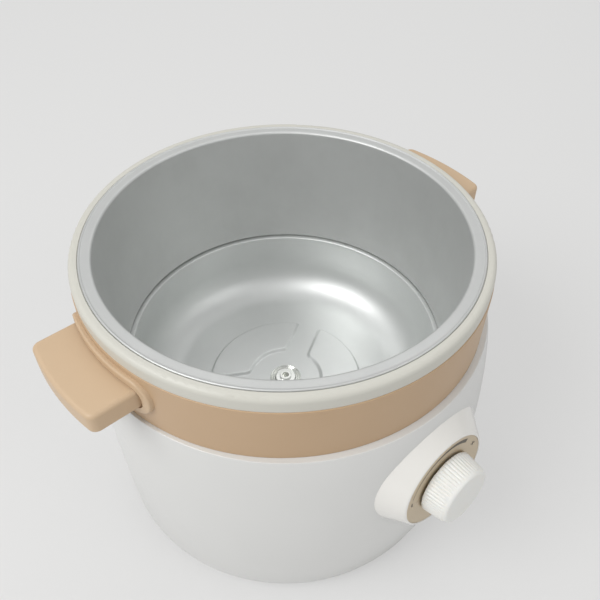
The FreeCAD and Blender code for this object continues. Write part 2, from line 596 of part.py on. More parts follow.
def dial_housing():
    outer = housing_cone(0.0, -POD_DEPTH, 0.0)
    outer = outer.makeFillet(POD_RIM_ROUND, flat_edges_at(outer, 0.0))
    inside = housing_cone(POD_T, -POD_DEPTH - 1, THERMOSTAT_FRONT)
    recess = rod(DIAL_R, V(0, 0, -DIAL_DISC_T), V(0, 0, 1))
    hole = rod(BUSH_R, V(0, 0, -10), V(0, 0, 1))
    bosses = [rod(HOUSING_BOSS_R, spot + V(0, 0, -POD_DEPTH), spot + V(0, 0, THERMOSTAT_FRONT))
              for spot, _ in housing_screw_spots()]
    posts = bosses[0].fuse(bosses[1:]).common(housing_cone(1.0, -POD_DEPTH, 0.0))
    holes = [rod(SCREW_R, spot + V(0, 0, -POD_DEPTH), spot + V(0, 0, THERMOSTAT_FRONT))
             for spot, _ in housing_screw_spots()]
    body = outer.cut([inside, recess, hole]).fuse(posts).cut(holes)
    return dial_placed(body).cut(body_solid(0.0, SHELL_LOW_Z, BAND_BOTTOM_Z))


def housing_screw(spot, seat):
    length = THERMOSTAT_FRONT - 0.2 - seat
    return dial_placed(screw(HEAD_R, HEAD_H, SCREW_R, length, spot + V(0, 0, seat), AXIS_Z))


def dial_plate():
    disc = revolved([(BUSH_R, -DIAL_DISC_T, 0), (DIAL_R, -DIAL_DISC_T, 0), (DIAL_R, -0.2, 0.3),
                     (BUSH_R, -0.2, 0)])
    return dial_placed(disc)


def knob():
    """Slightly tapered knob with fine ribs, hollow behind, with a hub for the spindle."""
    base, face = KNOB_GAP, KNOB_H
    taper = (KNOB_BASE_R - KNOB_FACE_R) / (face - base)
    outer = revolved([(0, base, 0), (KNOB_BASE_R, base, 0.4), (KNOB_FACE_R, face, 1.4), (0, face, 0)])
    hub_r, deep = SPINDLE_R + 2.6, face - KNOB_WALL
    inside = revolved([(hub_r, base - 1, 0), (KNOB_BASE_R - KNOB_WALL, base - 1, 0),
                       (KNOB_BASE_R - KNOB_WALL - taper * (deep - base), deep, 1.0), (hub_r, deep, 0)])
    grooves = []
    for i in range(KNOB_RIBS):
        angle = 360.0 / KNOB_RIBS * i
        grooves.append(rod(KNOB_GROOVE_R, polar(KNOB_BASE_R + 0.15, angle, base - 0.5),
                           polar(KNOB_FACE_R + 0.15, angle, face - 1.6)))
    socket = rod(SPINDLE_R, V(0, 0, base - 1), V(0, 0, KNOB_SOCKET_Z))
    hub_relief = rod(SPINDLE_R + 3.0, V(0, 0, base - 1), V(0, 0, KNOB_HUB_Z))
    return dial_placed(outer.cut([inside, socket, hub_relief]).cut(grooves))


def hexagon_nut(flats, bore_r, z0, z1):
    """Hexagon nut about Z with chamfered corners on its upper face."""
    corner = flats / math.sqrt(3)
    points = [polar(corner, 60 * i) for i in range(6)]
    prism = slab(plain([(p.x, p.y) for p in points]), z0, z1)
    chamfer = revolved(plain([(0, z0), (corner + 1, z0), (corner + 1, z1 - (corner + 1 - flats / 2) * 0.6),
                              (flats / 2 - 0.1, z1), (0, z1)]))
    return prism.common(chamfer).cut(rod(bore_r, V(0, 0, z0 - 1), V(0, 0, z1 + 1)))


def thermostat_nut():
    return dial_placed(hexagon_nut(NUT_FLATS, BUSH_OUT_R, -0.2, NUT_TOP))


def knob_spindle():
    return dial_placed(rod(SPINDLE_R, V(0, 0, SPINDLE_TAIL), V(0, 0, KNOB_SOCKET_Z)))


def thermostat_body():
    """Thermostat case behind the housing's web, with the bush that guides the spindle."""
    half_x, half_y = THERMOSTAT_X / 2, THERMOSTAT_Y / 2
    case = slab([(-half_x, -half_y, 2), (half_x, -half_y, 2), (half_x, half_y, 2), (-half_x, half_y, 2)],
                THERMOSTAT_BACK, THERMOSTAT_FRONT)
    bush = rod(BUSH_OUT_R, V(0, 0, THERMOSTAT_FRONT), V(0, 0, BUSH_TOP))
    tabs = [block(x - 3, x + 3, y - 0.4, y + 0.4, TAB_END, THERMOSTAT_BACK)
            for x in (-TAB_X, TAB_X) for y in (-TAB_Y, TAB_Y)]
    bore = rod(SPINDLE_R + RUNNING_GAP, V(0, 0, SPINDLE_TAIL - 0.5), V(0, 0, BUSH_TOP + 1))
    return dial_placed(case.fuse([bush] + tabs).cut(bore))


# ---- mains inlet --------------------------------------------------------------------------------
def inlet_outline(size, low_round, high_round):
    """Outline of a socket part, centred on the inlet, with its own lower and upper corners."""
    half_w, half_h = size[0] / 2, size[1] / 2
    return [(-half_w, INLET_Z - half_h, low_round), (half_w, INLET_Z - half_h, low_round),
            (half_w, INLET_Z + half_h, high_round), (-half_w, INLET_Z + half_h, high_round)]


def inlet_socket():
    face = INLET_FACE_Y
    flange = prism_y(inlet_outline(INLET_FLANGE, 6, 6), face, face + INLET_FLANGE_T)
    barrel = prism_y(inlet_outline(INLET_OPENING, 2, 5), face - INLET_BARREL, face)
    well = prism_y(inlet_outline(INLET_WELL, 1.5, 5), face - INLET_WELL_DEPTH, face + 4)
    screws = [rod(SCREW_R, V(side * INLET_PITCH_X, face - 1, INLET_Z),
                  V(side * INLET_PITCH_X, face + 4, INLET_Z)) for side in (-1, 1)]
    pins = [pin_block(x, z, face - 20, face - 10) for x, z in INLET_PINS]
    return flange.fuse(barrel).cut([well] + screws + pins)


def pin_block(x, z, y0, y1):
    """Flat pin of the socket between two depths."""
    return block(x - PIN_HALF_W, x + PIN_HALF_W, y0, y1, INLET_Z + z - PIN_HALF_T, INLET_Z + z + PIN_HALF_T)


def inlet_pin(x, z):
    return pin_block(x, z, INLET_TAIL_Y, INLET_FACE_Y - 2)


def inlet_screw(side):
    seat = V(side * INLET_PITCH_X, INLET_FACE_Y + INLET_FLANGE_T, INLET_Z)
    return screw(2.8, 1.6, SCREW_R, 9.0, seat, V(0, -1, 0))


# ---- inside parts -------------------------------------------------------------------------------
def sensor_bulb():
    """Thermostat bulb in its clip on the heat shield."""
    z = SHIELD_Z + BULB_RISE
    bulb = rod(BULB_R, V(BULB_X, -24, z), V(BULB_X, 10, z))
    clip = block(BULB_X - 4, BULB_X + 4, -10, -4, SHIELD_Z + SHIELD_T, z - BULB_R + 1).cut(bulb)
    return bulb.fuse(clip)


def thermal_fuse():
    z = SHIELD_Z - FUSE_DROP
    body = rod(FUSE_R, V(FUSE_X, -12, z), V(FUSE_X, 12, z))
    clip = block(FUSE_X - 3, FUSE_X + 3, -4, 4, z + 1.5, SHIELD_Z)
    leads = rod(0.8, V(FUSE_X, -20, z), V(FUSE_X, 20, z))
    return body.fuse([clip, leads])


def terminal_block():
    middle, wire_z = -30.0, LIP_Z0 + 8
    body = block(middle - 20, middle + 20, 62, 74, LIP_Z0, LIP_Z0 + 14)
    rows = (middle - 12, middle, middle + 12)
    cuts = [rod(2.0, V(x, 60, wire_z), V(x, 76, wire_z)) for x in rows]
    cuts += [rod(1.6, V(x, 68, wire_z), V(x, 68, wire_z + 12)) for x in rows]
    return body.cut(cuts)


def around(angles):
    """Points of a wire that follows the inside of the body."""
    return [polar(WIRE_ROUTE_R, a, WIRE_Z) for a in angles]


def tab_approach(x):
    """Foot, corner and end of a wire that rises in front of the dish to a thermostat tab."""
    end = at_dial(x, -TAB_Y, TAB_END)
    corner = at_dial(x, -TAB_Y, TAB_END - 6.2)
    return [V(x, corner.y, WIRE_Z), corner, end]


def pin_tail(i):
    """Inner end of a socket pin."""
    x, z = INLET_PINS[i]
    return V(x, INLET_TAIL_Y, INLET_Z + z)


def wire_live():
    """From the inlet round the left side to the thermostat."""
    start = pin_tail(0)
    points = [start, start + V(0, -9, 0), V(-28, 86, WIRE_Z)]
    points += around((122, 142, 162, 182, 202, 222, 242)) + tab_approach(-TAB_X)
    return run_of(points, WIRE_BEND, WIRE_R)


def wire_heater():
    """From the thermostat round the right side to one element terminal."""
    points = tab_approach(TAB_X)[::-1] + around((-62, -42, -22, -2, 18, 38))
    end = V(TERMINAL_X, TERMINAL_Y, TERMINAL_END_Z)
    points += [V(52, 70, WIRE_Z - 2), V(end.x, end.y, WIRE_Z - 2), end]
    return run_of(points, WIRE_BEND, WIRE_R)


def wire_neutral():
    """From the inlet past the rear post to the other element terminal."""
    start = pin_tail(1)
    end = V(-TERMINAL_X, TERMINAL_Y, TERMINAL_END_Z)
    points = [start, start + V(0, -8, 0), V(-16, 78, WIRE_Z - 4), V(-14, 62, WIRE_Z - 4),
              V(end.x, end.y, WIRE_Z - 4), end]
    return run_of(points, WIRE_BEND, WIRE_R)


# ---- all pieces ---------------------------------------------------------------------------------
def pieces():
    """Name and shape of every piece."""
    yield "outer_shell", outer_shell()
    yield "base_plate", base_plate()
    for i, angle in enumerate(FOOT_ANGLES, 1):
        yield f"foot_{i}", foot(angle)
    for i, angle in enumerate(BASE_SCREW_ANGLES, 1):
        yield f"base_screw_{i}", base_screw(angle)
    yield "handle_band", handle_band()
    yield "top_ring", top_ring()
    yield "pan_wall", pan_wall()
    yield "heating_dish", heating_dish()
    yield "hub_stud", hub_stud()
    yield "hub_washer", hub_washer()
    yield "hub_nut", hub_nut()
    yield "hub_sleeve", hub_sleeve()
    yield "hub_back_nut", hub_back_nut()
    yield "heater_plate", heater_plate()
    yield "heater_ring", heater_ring()
    yield "heat_shield", heat_shield()
    for i, angle in enumerate(POST_ANGLES, 1):
        yield f"shield_post_{i}", shield_post(angle)
    yield "insulation_wrap", insulation_wrap()
    yield "handle_right", handle(1)
    yield "handle_left", handle(-1)
    spots = [(side, y) for side in (1, -1) for y in (-HANDLE_SCREW_Y, HANDLE_SCREW_Y)]
    for i, (side, y) in enumerate(spots, 1):
        yield f"handle_screw_{i}", handle_screw(side, y)
    yield "dial_housing", dial_housing()
    for i, (spot, seat) in enumerate(housing_screw_spots(), 1):
        yield f"housing_screw_{i}", housing_screw(spot, seat)
    yield "dial_plate", dial_plate()
    yield "knob", knob()
    yield "knob_spindle", knob_spindle()
    yield "thermostat_body", thermostat_body()
    yield "thermostat_nut", thermostat_nut()
    yield "inlet_socket", inlet_socket()
    for i, (x, z) in enumerate(INLET_PINS, 1):
        yield f"inlet_pin_{i}", inlet_pin(x, z)
    for i, side in enumerate((-1, 1), 1):
        yield f"inlet_screw_{i}", inlet_screw(side)
    yield "sensor_bulb", sensor_bulb()
    yield "thermal_fuse", thermal_fuse()
    yield "terminal_block", terminal_block()
    yield "wire_live", wire_live()
    yield "wire_heater", wire_heater()
    yield "wire_neutral", wire_neutral()


os.makedirs(OUT_DIR, exist_ok=True)
for name, shape in pieces():
    solids = shape.Solids
    box = shape.BoundBox
    print(f"{name:18s} solids {len(solids)} valid {shape.isValid()} volume {shape.Volume:10.1f} "
          f"x {box.XMin:7.1f} {box.XMax:7.1f} y {box.YMin:7.1f} {box.YMax:7.1f} z {box.ZMin:6.1f} {box.ZMax:6.1f}")
    piece = solids[0] if len(solids) == 1 else shape
    piece.exportStep(os.path.join(OUT_DIR, name + ".step"))
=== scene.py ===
"""A rice cooker base with an open heating pan: its modelled pieces, its finishes and its studio.

Metres. The pan's axis is Z, the dial faces -Y, the handles lie on +X and -X, the mains inlet faces +Y.
"""

import logging
import math
from contextlib import contextmanager
from dataclasses import dataclass, field
from enum import Enum
from typing import Callable, Iterator, Sequence, Union

import bmesh
import bpy
from mathutils import Matrix, Vector

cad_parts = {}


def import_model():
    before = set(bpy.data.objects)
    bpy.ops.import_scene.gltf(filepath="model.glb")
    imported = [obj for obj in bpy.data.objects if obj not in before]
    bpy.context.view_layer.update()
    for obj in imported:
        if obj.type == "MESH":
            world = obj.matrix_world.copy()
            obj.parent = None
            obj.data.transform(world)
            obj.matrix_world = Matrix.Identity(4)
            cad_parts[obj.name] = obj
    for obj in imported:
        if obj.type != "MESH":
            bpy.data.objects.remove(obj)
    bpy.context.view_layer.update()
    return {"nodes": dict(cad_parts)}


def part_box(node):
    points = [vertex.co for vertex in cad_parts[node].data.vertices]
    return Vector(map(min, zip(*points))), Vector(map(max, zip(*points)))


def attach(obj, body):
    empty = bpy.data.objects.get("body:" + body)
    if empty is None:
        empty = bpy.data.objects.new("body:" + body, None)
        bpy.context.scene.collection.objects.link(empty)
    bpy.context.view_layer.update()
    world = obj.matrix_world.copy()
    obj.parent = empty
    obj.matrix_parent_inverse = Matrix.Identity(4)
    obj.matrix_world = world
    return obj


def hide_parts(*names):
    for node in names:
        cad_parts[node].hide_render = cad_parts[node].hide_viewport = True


LOG = logging.getLogger("rice_cooker")
MM = 0.001
MERGE = 0.001 * MM      # vertices nearer than this are one
COOKER = "cooker"
DIAL_KNOB = "dial_knob"

Colour = tuple[float, float, float]
Station = tuple[float, float]
Link = Union["Value", bpy.types.NodeSocket, float, int, Sequence[float]]


# ---- shader expressions -------------------------------------------------------------------------
class Value:
    """A number that varies over a surface; Python arithmetic on it adds Math nodes."""

    def __init__(self, shader: "Shader", socket: bpy.types.NodeSocket) -> None:
        """Wraps one output socket of a shader's node.

        Args:
            shader: The shader that holds the node.
            socket: The output socket.
        """
        self.shader = shader
        self.socket = socket

    def _math(self, operation: str, *terms: Link) -> "Value":
        """Adds a Math node with this operation on the terms."""
        found = self.shader.node("ShaderNodeMath", {"operation": operation}, dict(enumerate(terms)))
        return Value(self.shader, found.outputs[0])

    def __add__(self, other: Link) -> "Value":
        """self + other."""
        return self._math("ADD", self, other)

    def __radd__(self, other: Link) -> "Value":
        """other + self."""
        return self._math("ADD", other, self)

    def __sub__(self, other: Link) -> "Value":
        """self - other."""
        return self._math("SUBTRACT", self, other)

    def __mul__(self, other: Link) -> "Value":
        """self * other."""
        return self._math("MULTIPLY", self, other)

    def __pow__(self, other: Link) -> "Value":
        """self to the power of other."""
        return self._math("POWER", self, other)

    def around(self, other: Link) -> "Value":
        """Angle of the point (other, self) about the axis."""
        return self._math("ARCTAN2", self, other)

    def step(self, low: float, high: float) -> "Value":
        """Smooth step of the value.

        Args:
            low: Where it is 0.
            high: Where it is 1.

        Returns:
            The step, held between 0 and 1.
        """
        settings = {"interpolation_type": "SMOOTHSTEP", "clamp": True}
        inputs = {"Value": self, "From Min": low, "From Max": high, "To Min": 0.0, "To Max": 1.0}
        return Value(self.shader, self.shader.node("ShaderNodeMapRange", settings, inputs).outputs[0])


class Shader:
    """One material's node tree, with a method for each way that a finish adds to it."""

    def __init__(self, name: str) -> None:
        """Makes the material, with its Principled shader.

        Args:
            name: The material's name.
        """
        self.material = bpy.data.materials.new(name)
        self.material.use_nodes = True
        self.tree = self.material.node_tree
        self.surface = self.tree.nodes["Principled BSDF"]

    def _feed(self, socket: bpy.types.NodeSocket, value: Link) -> None:
        """Sets a socket to a number or colour, or links a value or socket to it.

        Args:
            socket: The input socket.
            value: What it is given.
        """
        if isinstance(value, Value):
            value = value.socket
        if isinstance(value, bpy.types.NodeSocket):
            self.tree.links.new(value, socket)
        elif isinstance(value, (int, float)):
            socket.default_value = value
        elif socket.type == "RGBA":
            socket.default_value = (*value, 1.0)
        else:
            socket.default_value = value

    def node(self, kind: str, settings: dict[str, object] | None = None,
             inputs: dict[int | str, Link] | None = None) -> bpy.types.Node:
        """Adds a node of any type.

        Args:
            kind: The node's type.
            settings: Its properties, set first.
            inputs: Values or links of its sockets, by name or number.

        Returns:
            The node.
        """
        made = self.tree.nodes.new(kind)
        for name, value in (settings or {}).items():
            setattr(made, name, value)
        for name, value in (inputs or {}).items():
            self._feed(made.inputs[name], value)
        return made

    def place(self) -> bpy.types.NodeSocket:
        """Object coordinates."""
        return self.node("ShaderNodeTexCoord").outputs["Object"]

    def axes(self, place: bpy.types.NodeSocket | None = None) -> tuple[Value, Value, Value]:
        """The x, y and z of a place, in metres.

        Args:
            place: The coordinates, or None for the piece's own.

        Returns:
            Three values.
        """
        parts = self.node("ShaderNodeSeparateXYZ", None, {0: place or self.place()})
        return tuple(Value(self, socket) for socket in parts.outputs)

    def vector(self, x: Link, y: Link, z: Link) -> bpy.types.NodeSocket:
        """A vector from three values."""
        return self.node("ShaderNodeCombineXYZ", None, {0: x, 1: y, 2: z}).outputs[0]

    def noise(self, place: Link, scale: float, detail: float = 2.0, roughness: float = 0.5) -> Value:
        """Soft noise from 0 to 1.

        Args:
            place: The coordinates.
            scale: Its size, as cells per metre.
            detail: How many finer layers it has.
            roughness: How strong the finer layers are.

        Returns:
            The value.
        """
        inputs = {"Vector": place, "Scale": scale, "Detail": detail, "Roughness": roughness}
        return Value(self, self.node("ShaderNodeTexNoise", None, inputs).outputs[0])

    def mix(self, factor: Link, first: Link, second: Link) -> bpy.types.NodeSocket:
        """A colour between two colours."""
        settings = {"data_type": "RGBA", "clamp_factor": True}
        return self.node("ShaderNodeMix", settings, {0: factor, 6: first, 7: second}).outputs[2]

    def bump(self, height: Link, depth: float, normal: Link | None = None) -> bpy.types.NodeSocket:
        """A bumped normal.

        Args:
            height: Height from 0 to 1.
            depth: Metres from lowest to highest.
            normal: A bump below this one, or None.

        Returns:
            The normal.
        """
        inputs: dict[int | str, Link] = {"Height": height, "Strength": 1.0, "Distance": depth}
        if normal is not None:
            inputs["Normal"] = normal
        return self.node("ShaderNodeBump", None, inputs).outputs[0]

    def dress(self, **sockets: Link) -> bpy.types.Material:
        """Sets the surface's sockets, named with underscores for spaces.

        Args:
            **sockets: Values or links.

        Returns:
            The material.
        """
        for name, value in sockets.items():
            self._feed(self.surface.inputs[name.replace("_", " ")], value)
        return self.material


# ---- finishes -----------------------------------------------------------------------------------
@dataclass(frozen=True)
class MouldedPlastic:
    """Injection-moulded plastic with faint flow marks, a fine skin and a clear gloss."""

    name: str
    colour: Colour
    shade: Colour
    roughness: float = 0.32
    gloss: float = 0.35
    grain: float = 900.0
    grain_depth: float = 0.00001
    ripple_depth: float = 0.00006
    soft: float = 0.0
    soft_radius: Colour = (0.004, 0.0035, 0.003)
    flow_scale: float = 22.0
    flow_edges: tuple[float, float] = (0.3, 0.75)
    flow_share: float = 0.6
    flow_roughness: float = 0.06
    ripple_scale: float = 34.0
    skin_roughness: float = 0.10
    coat_roughness: float = 0.12

    def material(self) -> bpy.types.Material:
        """Builds the material.

        Returns:
            The material.
        """
        shader = Shader(self.name)
        place = shader.place()
        flow = shader.noise(place, self.flow_scale, 3.0)
        skin = shader.noise(place, self.grain, 2.0)
        ripple = shader.noise(place, self.ripple_scale, 1.0)
        normal = shader.bump(ripple, self.ripple_depth)
        normal = shader.bump(skin, self.grain_depth, normal)
        colour = shader.mix(flow.step(*self.flow_edges) * self.flow_share, self.colour, self.shade)
        rough = self.roughness + (skin - 0.5) * self.skin_roughness + (flow - 0.5) * self.flow_roughness
        shader.surface.inputs["Coat Roughness"].default_value = self.coat_roughness
        if self.soft:
            shader.surface.inputs["Subsurface Weight"].default_value = self.soft
            shader.surface.inputs["Subsurface Radius"].default_value = self.soft_radius
            shader.surface.inputs["Subsurface Scale"].default_value = 1.0
        return shader.dress(Base_Color=colour, Roughness=rough, Coat_Weight=self.gloss, Normal=normal)


class Lay(Enum):
    """Which way the fine lines on a drawn or spun sheet run."""

    ROUND = "round the axis"
    UPRIGHT = "up the wall"
    NONE = "no lines"


@dataclass(frozen=True)
class SheetMetal:
    """Drawn sheet with fine lines, faint clouds and a satin surface."""

    name: str
    colour: Colour
    cloud: Colour
    roughness: float = 0.36
    lay: Lay = Lay.ROUND
    line_depth: float = 0.000006
    mottle: float = 0.06
    metallic: float = 1.0
    ring_scale: float = 1500.0
    ring_turn: float = 1.5
    streak_scale: float = 60.0
    streak_length: float = 12.0
    plain_scale: float = 700.0
    line_roughness: float = 0.08
    cloud_scale: float = 26.0
    cloud_edges: tuple[float, float] = (0.25, 0.8)
    cloud_share: float = 0.8
    speck_scale: float = 1600.0
    speck_share: float = 0.8

    def lines(self, shader: Shader) -> Value:
        """The fine lines as a value from 0 to 1.

        Args:
            shader: The shader that they are added to.

        Returns:
            The value.
        """
        place = shader.place()
        x, y, z = shader.axes(place)
        radius = (x * x + y * y) ** 0.5
        turn = y.around(x)
        if self.lay is Lay.ROUND:
            across = shader.vector(radius * self.ring_scale, z * self.ring_scale, turn * self.ring_turn)
            return shader.noise(across, 1.0, 3.0, 0.6)
        if self.lay is Lay.UPRIGHT:
            length = self.streak_length
            along = shader.vector(turn * self.streak_scale, z * length, radius * length)
            return shader.noise(along, 1.0, 4.0, 0.6)
        return shader.noise(place, self.plain_scale, 3.0)

    def material(self) -> bpy.types.Material:
        """Builds the material.

        Returns:
            The material.
        """
        shader = Shader(self.name)
        place = shader.place()
        fine = self.lines(shader)
        clouds = shader.noise(place, self.cloud_scale, 4.0, 0.6)
        speck = shader.noise(place, self.speck_scale, 2.0)
        rough = self.roughness + (clouds - 0.5) * self.mottle + (fine - 0.5) * self.line_roughness
        normal = shader.bump(fine, self.line_depth)
        normal = shader.bump(speck, self.line_depth * self.speck_share, normal)
        colour = shader.mix(clouds.step(*self.cloud_edges) * self.cloud_share, self.colour, self.cloud)
        return shader.dress(Base_Color=colour, Metallic=self.metallic, Roughness=rough, Normal=normal)


@dataclass(frozen=True)
class MetallicPaint:
    """Fine metallic paint on the dial plate."""

    name: str
    colour: Colour
    flake: Colour
    roughness: float = 0.42
    metallic: float = 0.75
    coat: float = 0.3
    flake_scale: float = 3800.0
    flake_share: float = 0.7
    flake_roughness: float = 0.16
    skin_scale: float = 2200.0
    skin_depth: float = 0.000004

    def material(self) -> bpy.types.Material:
        """Builds the material.

        Returns:
            The material.
        """
        shader = Shader(self.name)
        place = shader.place()
        inputs = {"Vector": place, "Scale": self.flake_scale}
        cells = shader.node("ShaderNodeTexVoronoi", {"feature": "F1"}, inputs)
        flakes = shader.axes(cells.outputs["Color"])[0]
        colour = shader.mix(flakes * self.flake_share, self.colour, self.flake)
        normal = shader.bump(shader.noise(place, self.skin_scale, 1.0), self.skin_depth)
        rough = self.roughness + (flakes - 0.5) * self.flake_roughness
        return shader.dress(Base_Color=colour, Metallic=self.metallic, Roughness=rough,
                            Coat_Weight=self.coat, Normal=normal)


@dataclass(frozen=True)
class SoftSurface:
    """Rubber, sleeving, ceramic or wool: a dull surface with a grain of its own scale."""

    name: str
    colour: Colour
    shade: Colour
    grain: float
    depth: float
    roughness: float = 0.7
    grain_edges: tuple[float, float] = (0.3, 0.7)
    grain_roughness: float = 0.15

    def material(self) -> bpy.types.Material:
        """Builds the material.

        Returns:
            The material.
        """
        shader = Shader(self.name)
        place = shader.place()
        grain = shader.noise(place, self.grain, 3.0, 0.6)
        colour = shader.mix(grain.step(*self.grain_edges), self.colour, self.shade)
        rough = self.roughness + (grain - 0.5) * self.grain_roughness
        return shader.dress(Base_Color=colour, Roughness=rough, Normal=shader.bump(grain, self.depth))


SHELL_WHITE = MouldedPlastic("shell_white", (0.715, 0.715, 0.70), (0.70, 0.70, 0.685), 0.32, 0.35)
POD_WHITE = MouldedPlastic("housing_white", (0.86, 0.845, 0.805), (0.84, 0.825, 0.785), 0.16, 0.9)
RING_CREAM = MouldedPlastic("ring_cream", (0.62, 0.61, 0.55), (0.605, 0.595, 0.535), 0.46, 0.08)
BAND_TAN = MouldedPlastic("band_tan", (0.535, 0.37, 0.225), (0.51, 0.35, 0.21), 0.46, 0.10)
GRIP_TAN = MouldedPlastic("grip_tan", (0.60, 0.44, 0.285), (0.57, 0.415, 0.27), 0.48, 0.08)
KNOB_WHITE = MouldedPlastic("knob_white", (0.86, 0.855, 0.815), (0.84, 0.835, 0.795), 0.40, 0.15,
                            soft=0.35)
BASE_GREY = MouldedPlastic("base_grey", (0.62, 0.62, 0.61), (0.58, 0.58, 0.57), 0.55, 0.0, 1400.0, 0.00004)
INLET_BLACK = MouldedPlastic("inlet_black", (0.022, 0.022, 0.023), (0.03, 0.03, 0.03), 0.42, 0.1)
PAN_SATIN = SheetMetal("pan_satin", (0.66, 0.67, 0.66), (0.61, 0.62, 0.61), 0.50, Lay.UPRIGHT,
                       metallic=0.76)
DISH_SATIN = SheetMetal("dish_satin", (0.75, 0.765, 0.755), (0.71, 0.725, 0.715), 0.46, metallic=0.8)
CAST_METAL = SheetMetal("cast_aluminium", (0.52, 0.52, 0.52), (0.40, 0.40, 0.40), 0.6, Lay.NONE, 0.00006)
SATIN_STEEL = SheetMetal("satin_steel", (0.60, 0.60, 0.60), (0.52, 0.52, 0.52), 0.34)
HUB_METAL = SheetMetal("hub_metal", (0.84, 0.85, 0.82), (0.76, 0.77, 0.74), 0.22, line_depth=0.000003)
BRIGHT_SCREW = SheetMetal("bright_screw", (0.70, 0.70, 0.69), (0.62, 0.62, 0.61), 0.22)
SATIN_BRASS = SheetMetal("satin_brass", (0.60, 0.55, 0.36), (0.52, 0.47, 0.30), 0.3)
DIAL_GOLD = MetallicPaint("dial_gold", (0.54, 0.44, 0.30), (0.66, 0.55, 0.40))
MARK_INK = SoftSurface("mark_ink", (0.10, 0.085, 0.065), (0.13, 0.11, 0.085), 2600.0, 0.000004, 0.5)
FOOT_RUBBER = SoftSurface("foot_rubber", (0.10, 0.10, 0.10), (0.13, 0.13, 0.13), 1500.0, 0.00004)
CERAMIC = SoftSurface("ceramic", (0.78, 0.78, 0.72), (0.72, 0.72, 0.66), 900.0, 0.00003, 0.55)
WOOL = SoftSurface("insulation_wool", (0.70, 0.70, 0.64), (0.60, 0.60, 0.55), 420.0, 0.0004, 0.95)
WIRE_RED = SoftSurface("sleeving_red", (0.32, 0.02, 0.015), (0.26, 0.02, 0.015), 1800.0, 0.00006)
WIRE_BLUE = SoftSurface("sleeving_blue", (0.02, 0.05, 0.22), (0.02, 0.04, 0.17), 1800.0, 0.00006)

CAD_FINISHES = {
    SHELL_WHITE: ("outer_shell",),
    POD_WHITE: ("dial_housing",),
    RING_CREAM: ("top_ring",),
    BAND_TAN: ("handle_band",),
    GRIP_TAN: ("handle_left", "handle_right"),
    KNOB_WHITE: ("knob",),
    BASE_GREY: ("base_plate",),
    INLET_BLACK: ("inlet_socket", "thermostat_body"),
    PAN_SATIN: ("pan_wall",),
    DISH_SATIN: ("heating_dish",),
    CAST_METAL: ("heater_plate",),
    HUB_METAL: ("hub_washer", "hub_nut", "hub_stud"),
    SATIN_STEEL: ("hub_sleeve", "hub_back_nut", "knob_spindle", "heater_ring", "heat_shield",
                  "sensor_bulb"),
    BRIGHT_SCREW: ("base_screw_", "handle_screw_", "housing_screw_", "inlet_screw_", "shield_post_"),
    SATIN_BRASS: ("thermostat_nut", "thermal_fuse", "inlet_pin_"),
    DIAL_GOLD: ("dial_plate",),
    FOOT_RUBBER: ("foot_",),
    CERAMIC: ("terminal_block",),
    WOOL: ("insulation_wrap",),
    WIRE_RED: ("wire_live", "wire_heater"),
    WIRE_BLUE: ("wire_neutral",),
}


def dress_frame(nodes: dict[str, bpy.types.Object]) -> None:
    """Gives each CAD node its finish; a name ending in _ stands for every node that starts so.

    Args:
        nodes: The frame's nodes by name.
    """
    for finish, names in CAD_FINISHES.items():
        material = finish.material()
        for name, piece in nodes.items():
            if any(name == n or (n.endswith("_") and name.startswith(n)) for n in names):
                for holder in piece.material_slots:
                    holder.material = material


